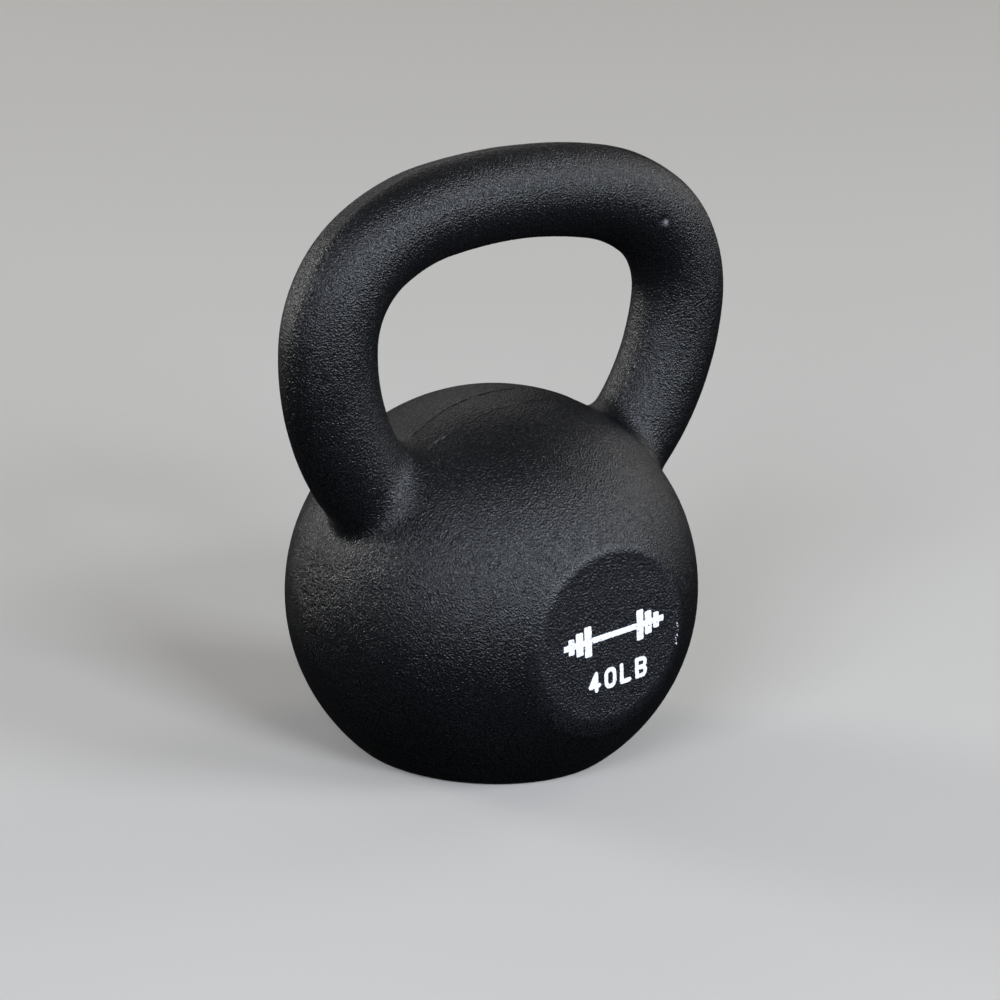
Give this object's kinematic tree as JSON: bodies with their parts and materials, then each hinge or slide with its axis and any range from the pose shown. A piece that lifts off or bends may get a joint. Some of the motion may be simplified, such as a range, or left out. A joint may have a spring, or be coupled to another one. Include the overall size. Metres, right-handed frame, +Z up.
{
  "type": "kettlebell",
  "caption": "Cast-iron kettlebell: a solid ball with a flat base and a printed front flat, and an arched handle that leaves a window for the hands.",
  "frame": {"origin": "middle of the flat base, on the surface that the kettlebell stands on", "axes": "+Z up through the ball and the handle's top, +X along the handle from horn to horn, -Y out of the printed front flat"},
  "size_m": [0.2124, 0.1476, 0.2427],
  "materials": {
    "coated_iron": "textured black powder coat, semi-matte",
    "white_ink": "screen-printed white ink, matte"
  },
  "bodies": {
    "root": {"ball": "coated_iron", "horn_left": "coated_iron", "horn_right": "coated_iron", "grip": "coated_iron", "emblem": "white_ink", "weight_mark": "white_ink"}
  },
  "joints": []
}
